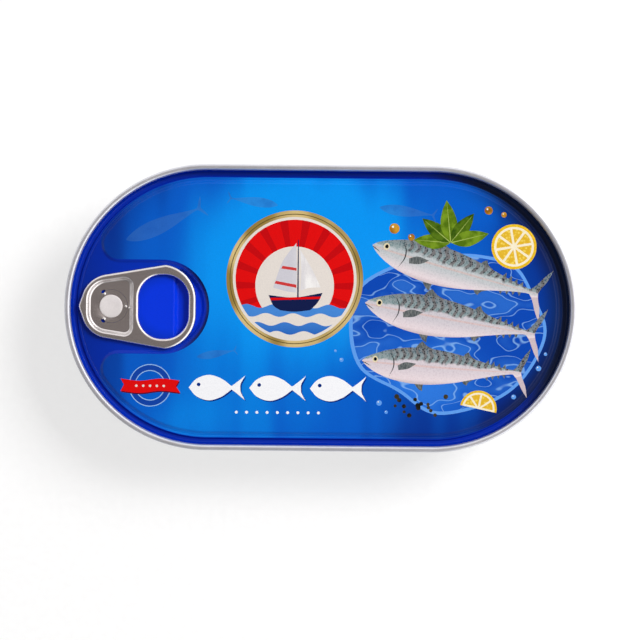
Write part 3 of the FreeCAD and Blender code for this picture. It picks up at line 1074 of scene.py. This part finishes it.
TONES = {
    # the keyhole's deep blue also carries painted light and painted shade
    "keyhole": keyhole_tone,
    "field": field_tone,
    "splash": splash_tone,
    "pale fish": pale_fish_tone,
    "splash rim": (96, 158, 236),
    "skin 0": lambda ink: skin_tone(ink, FISHES[0], (178, 186, 190)),
    "skin 1": lambda ink: skin_tone(ink, FISHES[1], (196, 190, 198)),
    "skin 2": lambda ink: skin_tone(ink, FISHES[2], (208, 196, 204)),
    "fin": patchy_tone((72, 80, 84), (120, 124, 122), 0.7, 2.0, (2.6, 0.6, 1.0)),
    "dark line": (44, 48, 52),
    "eye": (226, 214, 176),
    "pupil": (14, 16, 20),
    "rind": patchy_tone((222, 172, 20), (244, 204, 50), 0.5, softness=0.2),
    "pith": (246, 236, 206),
    "lemon": flesh_tone,
    "leaf": patchy_tone((78, 110, 14), (118, 150, 34)),
    "leaf dark": patchy_tone((44, 76, 8), (84, 116, 22)),
    "vein": (170, 190, 96),
    "pepper": patchy_tone((20, 22, 20), (70, 62, 40)),
    "oil": patchy_tone((150, 92, 18), (206, 150, 44)),
    "glint": (250, 244, 226),
    "gold": patchy_tone((150, 124, 62), (214, 188, 128), 11.0, 1.0, (1.0, 0.55, 1.0), 0.14),
    "gold shade": (96, 82, 40),
    "cream": (228, 220, 212),
    "red": (224, 8, 10),
    "deep red": (196, 4, 12),
    "sea": sea_tone,
    "navy": (14, 26, 72),
    "sail": sail_tone,
    "sail shade": (206, 60, 60),
    "white": (248, 249, 252),
    "shade": (2, 44, 128),
    "seal line": (150, 190, 236),
    "seal": (14, 66, 164),
    "ribbon shade": (70, 10, 40),
}
INKS = {name: printed("ink_" + name.replace(" ", "_"), tone) for name, tone in TONES.items()}
print(len(INKS), "inks")

# %% [markdown]
# ## The printed lid
#
# The lid is one sheet from the middle of its panel to the top of its inside wall. The
# light field stops just short of the groove and goes round the keyhole, so the groove and
# the keyhole share one deep blue, with painted light and painted shade in it. Each face of the net
# takes the ink of the last shape that covers it, as if the shapes were printed one over another.

# %% Lid sheet
FIELD_R = PANEL_R - 0.3
FIELD_LOBE = 5.6
field_corners = lobed_corners(FIELD_R, FIELD_LOBE, KEYHOLE_R)


def ink_at(centres):
    """The ink of each face of the net; the last shape printed over a face wins."""
    names = np.full(len(centres), "keyhole", dtype=object)
    names[lobed_depth(centres, FIELD_R, FIELD_LOBE, KEYHOLE_R) > 0] = "field"
    for paint, loop, within in stencils:
        low, high = loop.min(0), loop.max(0)
        close = np.all((centres >= low) & (centres <= high), axis=1)
        covered = np.zeros(len(centres), bool)
        covered[close] = inside_loop(loop, centres[close])
        if within is not None:
            covered &= inside_loop(within, centres)
        names[covered] = paint
    return names


print_loops = [drawn(field_corners)] + [loop for _, loop, _ in stencils]
# several shapes can share one window that they are seen in, and the net needs it once
windows = {id(within): within for _, _, within in stencils if within is not None}
print_loops += windows.values()
lid_mesh, lid_centres = pressed_sheet("lid_sheet", lid_loops + print_loops, lid_height, SHEET)
ink_names = list(INKS)
face_inks = [ink_names.index(name) for name in ink_at(lid_centres)]
face_inks += [0] * (len(lid_mesh.polygons) - len(face_inks))
lid_mesh.polygons.foreach_set("material_index", face_inks)

lid_sheet = add_piece(lid_mesh, INKS.values())
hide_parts("lid")
print("lid sheet:", len(lid_mesh.polygons), "faces")

# %% [markdown]
# ## Bare metal
#
# It is all aluminium, in four finishes. The seam is brushed along its length by the
# seaming rolls. The ring-pull is smoother sheet with faint lines from end to end. The
# rivet head is flattened by a punch, which leaves it pale and even. The wall of the body
# has fine upright marks, because a punch draws it down from a flat disc. One recipe with
# its grain stretched in different directions makes them all.

# %% Metal recipes
def metal(name, colour, roughness, grain, grain_depth, shine=1.0, wear=0.10, darkest=0.86):
    """A worn metal: brushed lines, soft clouds, and a little play in how dull it is."""
    sheet = Recipe(name, roughness, metal=shine)
    lines = sheet.noise(0.5, 3.0, grain)
    clouds = sheet.noise(5.0, 3.0, [min(stretch, 1) for stretch in grain])
    shade = sheet.maths("MULTIPLY_ADD", lines, 0.4, sheet.maths("MULTIPLY", clouds, 0.6))
    darker = sheet.mix(1.0, srgb(*colour), (darkest, darkest, darkest, 1.0), "MULTIPLY")
    bright = sheet.between(shade, 0.25, 0.75)
    sheet.give("Base Color", sheet.mix(bright, darker, srgb(*colour)))
    sheet.give("Roughness", sheet.maths("MULTIPLY_ADD", lines, wear, roughness - wear / 2))
    sheet.bump(lines, grain_depth)
    return sheet.material


seam_metal = metal("seam_aluminium", (222, 223, 230), roughness=0.38, grain=(1, 1, 3),
                   grain_depth=0.002, shine=0.75)
tab_metal = metal("tab_aluminium", (231, 226, 225), roughness=0.26, grain=(0.25, 1.1, 1.1),
                  grain_depth=0.0002, wear=0.04, darkest=0.94)
rivet_metal = metal("rivet_aluminium", (240, 234, 234), roughness=0.55, grain=(1, 1, 1),
                    grain_depth=0.002, shine=0.25)
body_metal = metal("body_aluminium", (206, 208, 212), roughness=0.25, grain=(1.4, 1.4, 0.02),
                   grain_depth=0.0012, darkest=0.84)

# %% Rolled seam
# a hair inside the solid's own side, so that the dressed tin is no wider than the solid
seam_section = [(min(size, RIM_R - 0.01), z) for size, z in seam_path]
seam_mesh = carried_round("seam_roll", seam_section, lambda size: drawn(oval(size)))
seam_roll = add_piece(seam_mesh, [seam_metal])
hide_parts("lid")
print("seam:", len(seam_mesh.polygons), "faces")

# %% [markdown]
# ## The rivet and the ring-pull
#
# The rivet head is a low disc with a soft edge. The ring-pull is one strip of metal: its
# outer edge and the edge of the finger hole are curled under, which makes a ring that is
# stiff and kind to a finger. Round the rivet its sheet sinks down to the lid, and a
# C-shaped slit lets that part stay put as the ring is lifted. The flat part is made as the
# lid is, from outlines and a map of heights. Each curl is one small section carried round
# its edge, because a sheet with one height at each point can't turn back under itself.

# %% Rivet head
HEAD_R = 3.35
HEAD_HEIGHT = 0.5
HEAD_EDGE = 0.28
HEAD_DOME = 0.02


def head_height(points):
    radius = np.hypot(points[:, 0] - RIVET_X, points[:, 1])
    over_edge = np.clip(radius - (HEAD_R - HEAD_EDGE), 0, HEAD_EDGE)
    round_edge = HEAD_EDGE - np.sqrt(np.maximum(HEAD_EDGE**2 - over_edge**2, 0))
    return WEB_Z + HEAD_HEIGHT - round_edge - HEAD_DOME * (radius / HEAD_R) ** 2


head_radii = [0.9, 1.8, 2.6, HEAD_R - HEAD_EDGE]
for angle in (20, 40, 60, 75, 90):
    head_radii.append(HEAD_R - HEAD_EDGE * (1 - math.sin(math.radians(angle))))
head_loops = [circle(RIVET_X, 0, radius, 72) for radius in head_radii]
head_sheet = HEAD_HEIGHT - HEAD_EDGE - HEAD_DOME
head_mesh, _ = pressed_sheet("rivet_head", head_loops, head_height, head_sheet)
rivet_head = add_piece(head_mesh, [rivet_metal])
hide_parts("lid")
print("rivet head:", len(head_mesh.polygons), "faces")

# %% Outlines of the ring-pull
TAB_SHEET = 0.35
HEM = 0.92
HEM_TOP_RADIUS = 0.85
HEM_FOOT_RADIUS = 0.3
HALF_TAB = TAB_WIDTH / 2
NOSE_REACH = 9.6
HOLE_HALF_WIDTH = HALF_TAB - 3.1
HOLE_CORNER = 6.8

tab_corners = mirrored([
    (RING_END_X, HALF_TAB - 1.8, HALF_TAB - 2.0),
    (RING_END_X - HALF_TAB + 3.45, HALF_TAB, 3.0),
    (RIVET_X - 6.6, 8.5, 8.5),
], [(RIVET_X - NOSE_REACH, 0, 2.0)])
hole_corners = mirrored([
    (RING_END_X - 2.25, HOLE_HALF_WIDTH, HOLE_CORNER),
    (RIVET_X + 8.1, HOLE_HALF_WIDTH, HOLE_CORNER),
])
web_corners = mirrored([
    (RIVET_X + 6.7, 9.3, 2.8),
    (RIVET_X - 7.2, 7.2, 6.4),
])
WEB_RUN = 1.3
print("finger hole:", round(2 * HOLE_HALF_WIDTH, 2), "mm wide")

# %% Slit, pips and lips of the web
SLIT_R = 4.85
SLIT_WIDTH = 0.05
SLIT_HALF_ANGLE = math.radians(118)
SLIT_END_SIZE = (0.66, 0.46)
SLIT_END_TURN = 32
PIPS = ((4.35, 0.0), (5.4, -0.5))
PIP_REACH = 0.4
LIP_REACH = 0.55

sweep = np.linspace(-SLIT_HALF_ANGLE, SLIT_HALF_ANGLE, 73)
spokes = np.stack([np.cos(sweep), np.sin(sweep)], 1)
half_slit = SLIT_WIDTH / 2
slit = np.vstack([spokes * (SLIT_R + half_slit), spokes[::-1] * (SLIT_R - half_slit)])
cut_outs = [slit + [RIVET_X, 0]]
lips = []
for side, end in ((-1, spokes[0] * SLIT_R), (1, spokes[-1] * SLIT_R)):
    slit_end = circle(0, 0, 1.0, 24) * SLIT_END_SIZE
    cut_outs.append(placed(slit_end, RIVET_X + end[0], end[1], 1.0, side * SLIT_END_TURN))
    lips.append((end[0] + 0.28, end[1] - side * 0.62))
print("slit:", len(cut_outs), "cut-outs and", len(lips), "raised lips")


# %% Ring-pull plate
def tab_height(points):
    web = depth_inside(web_corners, points)
    height = TAB_TOP_Z - (TAB_TOP_Z - WEB_Z) * smooth_step(web / WEB_RUN)
    bumps = [(*pip, PIP_REACH) for pip in PIPS] + [(*lip, LIP_REACH) for lip in lips]
    for x, y, reach in bumps:
        away = np.hypot(points[:, 0] - RIVET_X - x, points[:, 1] - y)
        height += reach / 2 * smooth_step(1 - away / reach)
    return height


def in_plate(centres):
    keep = depth_inside(hole_corners, centres) < -HEM
    for loop in cut_outs:
        keep &= ~inside_loop(loop, centres)
    return keep


tab_loops = [drawn(grown(tab_corners, -HEM)), drawn(grown(hole_corners, HEM))]
tab_loops += [drawn(grown(web_corners, -shift)) for shift in wall_shifts(WEB_RUN, 12, 0.1)]
tab_loops += cut_outs
for x, y in PIPS:
    tab_loops += [circle(RIVET_X + x, y, radius, 16) for radius in (0.1, 0.2, 0.3, 0.4)]
for x, y in lips:
    tab_loops += [circle(RIVET_X + x, y, radius, 18) for radius in (0.1, 0.2, 0.3, 0.4, 0.5)]
tab_mesh, _ = pressed_sheet("pull_plate", tab_loops, tab_height, TAB_SHEET, in_plate)
pull_plate = add_piece(tab_mesh, [tab_metal])
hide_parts("ring_pull")
print("ring-pull plate:", len(tab_mesh.polygons), "faces")

# %% Curled edges of the ring-pull
hem_outside = rounded_path([
    (-HEM, TAB_TOP_Z, 0),
    (0.0, TAB_TOP_Z, HEM_TOP_RADIUS),
    (0.0, TAB_FOOT_Z, HEM_FOOT_RADIUS),
    (-HEM, TAB_FOOT_Z, 0),
])
hem_inside = rounded_path([
    (-HEM, TAB_FOOT_Z + TAB_SHEET, 0),
    (-TAB_SHEET, TAB_FOOT_Z + TAB_SHEET, 0.02),
    (-TAB_SHEET, TAB_TOP_Z - TAB_SHEET, 0.5),
    (-HEM, TAB_TOP_Z - TAB_SHEET, 0),
])
hem = np.vstack([hem_outside, hem_inside])

curls = {
    "pull_outer_curl": (hem, tab_corners),
    "pull_hole_curl": (hem[::-1] * [-1, 1], hole_corners),
}
for name, (section, corners) in curls.items():
    mesh = carried_round(name, section, lambda shift: drawn(grown(corners, shift)))
    curl = add_piece(mesh, [tab_metal])
    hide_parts("ring_pull")
    print(name, len(mesh.polygons), "faces")

# %% [markdown]
# ## The body of the tin
#
# The body is pressed in one piece from a flat disc. Only its sloping wall and the soft edge
# of its base show below the seam, and the solid has both already. So it keeps its shape
# and only takes on its finish.

# %% Body finish
body = bpy.data.objects["can_body"]
body.data.materials.clear()
body.data.materials.append(body_metal)
print("body:", body.data.materials[0].name)

# %% [markdown]
# ## Floor, light and background
#
# The tin lies on a white sheet. A large soft lamp at the upper right is a little stronger
# than the light from all round. Metal shows what it mirrors, so a studio stands pale
# screens round it: the flat tab mirrors a dim, slightly warm ceiling, and rounded edges
# mirror bright screens on the right and at the back. Here the screens are parts of the
# sky that only shiny things see. They don't see the large lamp, because its square outline
# would show in the metal. The paper glows a little, so it looks white.

# %% Floor
HALF_FLOOR = 4.0
PAPER_GLOW = 0.63


def grey(level):
    return (level, level, level, 1.0)


floor_mesh = bpy.data.meshes.new("floor")
floor_corners = [(x * HALF_FLOOR, y * HALF_FLOOR, 0) for x, y in ((-1, -1), (1, -1), (1, 1), (-1, 1))]
floor_mesh.from_pydata(floor_corners, [], [(0, 1, 2, 3)])
floor = bpy.data.objects.new("floor", floor_mesh)
bpy.context.collection.objects.link(floor)
paper = Recipe("white_paper", 0.9)
fibre = paper.between(paper.noise(2.0, 3.0), 0.3, 0.7)
paper.give("Base Color", paper.mix(fibre, grey(0.39), grey(0.42)))
paper.surface.inputs["Specular IOR Level"].default_value = 0.0
paper.surface.inputs["Emission Color"].default_value = grey(1.0)
paper.surface.inputs["Emission Strength"].default_value = PAPER_GLOW
floor_mesh.materials.append(paper.material)
print("floor:", 2 * HALF_FLOOR, "m square")


# %% Lamps
def soft_lamp(name, place, size, watts, mirrored_in_metal=True):
    data = bpy.data.lights.new(name, "AREA")
    data.size = size
    data.energy = watts
    lamp = bpy.data.objects.new(name, data)
    lamp.location = place
    lamp.rotation_euler = (-Vector(place)).to_track_quat("-Z", "Y").to_euler()
    lamp.visible_glossy = mirrored_in_metal
    bpy.context.collection.objects.link(lamp)


soft_lamp("key", (0.75, 0.50, 0.90), 0.55, 15.0, mirrored_in_metal=False)
soft_lamp("fill", (-0.95, -0.05, 0.60), 0.45, 0.6)
print("lamps:", len(bpy.data.lights))

# %% Background
CEILING_LIGHT = 0.18
SOFT_LIGHT = 0.32
PLAIN_WHITE = 1.0
WARM = (1.0, 0.87, 0.83, 1.0)
# each part of the sky: the way towards it, how closely a ray points that way where the
# screen starts and where it is full, and the light that it adds
SCREENS = (
    ((0.00, 0.00, -1.0), -0.92, -0.10, 0.08),  # all but the ceiling
    ((0.97, -0.20, 0.0), 0.22, 0.58, 1.35),  # on the right
    ((-0.10, 1.00, 0.0), 0.20, 0.55, 0.85),  # at the back
    ((0.35, 0.00, -1.0), -0.30, 0.00, 0.25),  # low down, more so on the right
)
world = bpy.data.worlds.new("studio")
world.use_nodes = True
bpy.context.scene.world = world
sky = world.node_tree
sky.nodes.clear()
direction = add_node(sky, "ShaderNodeTexCoord").outputs["Generated"]


def towards(aim, start, full, strength):
    """Light from one part of the sky, with a soft edge."""
    along = add_node(sky, "ShaderNodeVectorMath", [direction, aim], operation="DOT_PRODUCT")
    climb = [along.outputs["Value"], start, full, 0.0, strength]
    return add_node(sky, "ShaderNodeMapRange", climb, interpolation_type="SMOOTHSTEP").outputs[0]


mirrored_light = CEILING_LIGHT
for screen in SCREENS:
    mirrored_light = add_node(sky, "ShaderNodeMath", [towards(*screen), mirrored_light]).outputs[0]
ray = add_node(sky, "ShaderNodeLightPath")
on_matt = {0: ray.outputs["Is Diffuse Ray"], 2: mirrored_light, 3: SOFT_LIGHT}
light = add_node(sky, "ShaderNodeMix", on_matt).outputs[0]
in_view = {0: ray.outputs["Is Camera Ray"], 2: light, 3: PLAIN_WHITE}
strength = add_node(sky, "ShaderNodeMix", in_view).outputs[0]
warmth = {0: towards((0, 0, 1), 0.72, 0.97, 1.0), 6: grey(1.0), 7: WARM}
tint = add_node(sky, "ShaderNodeMix", warmth, data_type="RGBA").outputs[2]
background = add_node(sky, "ShaderNodeBackground", [tint, strength])
add_node(sky, "ShaderNodeOutputWorld", [background.outputs[0]])
bpy.context.scene.view_settings.view_transform = "Standard"
print("sky:", len(SCREENS), "screens")
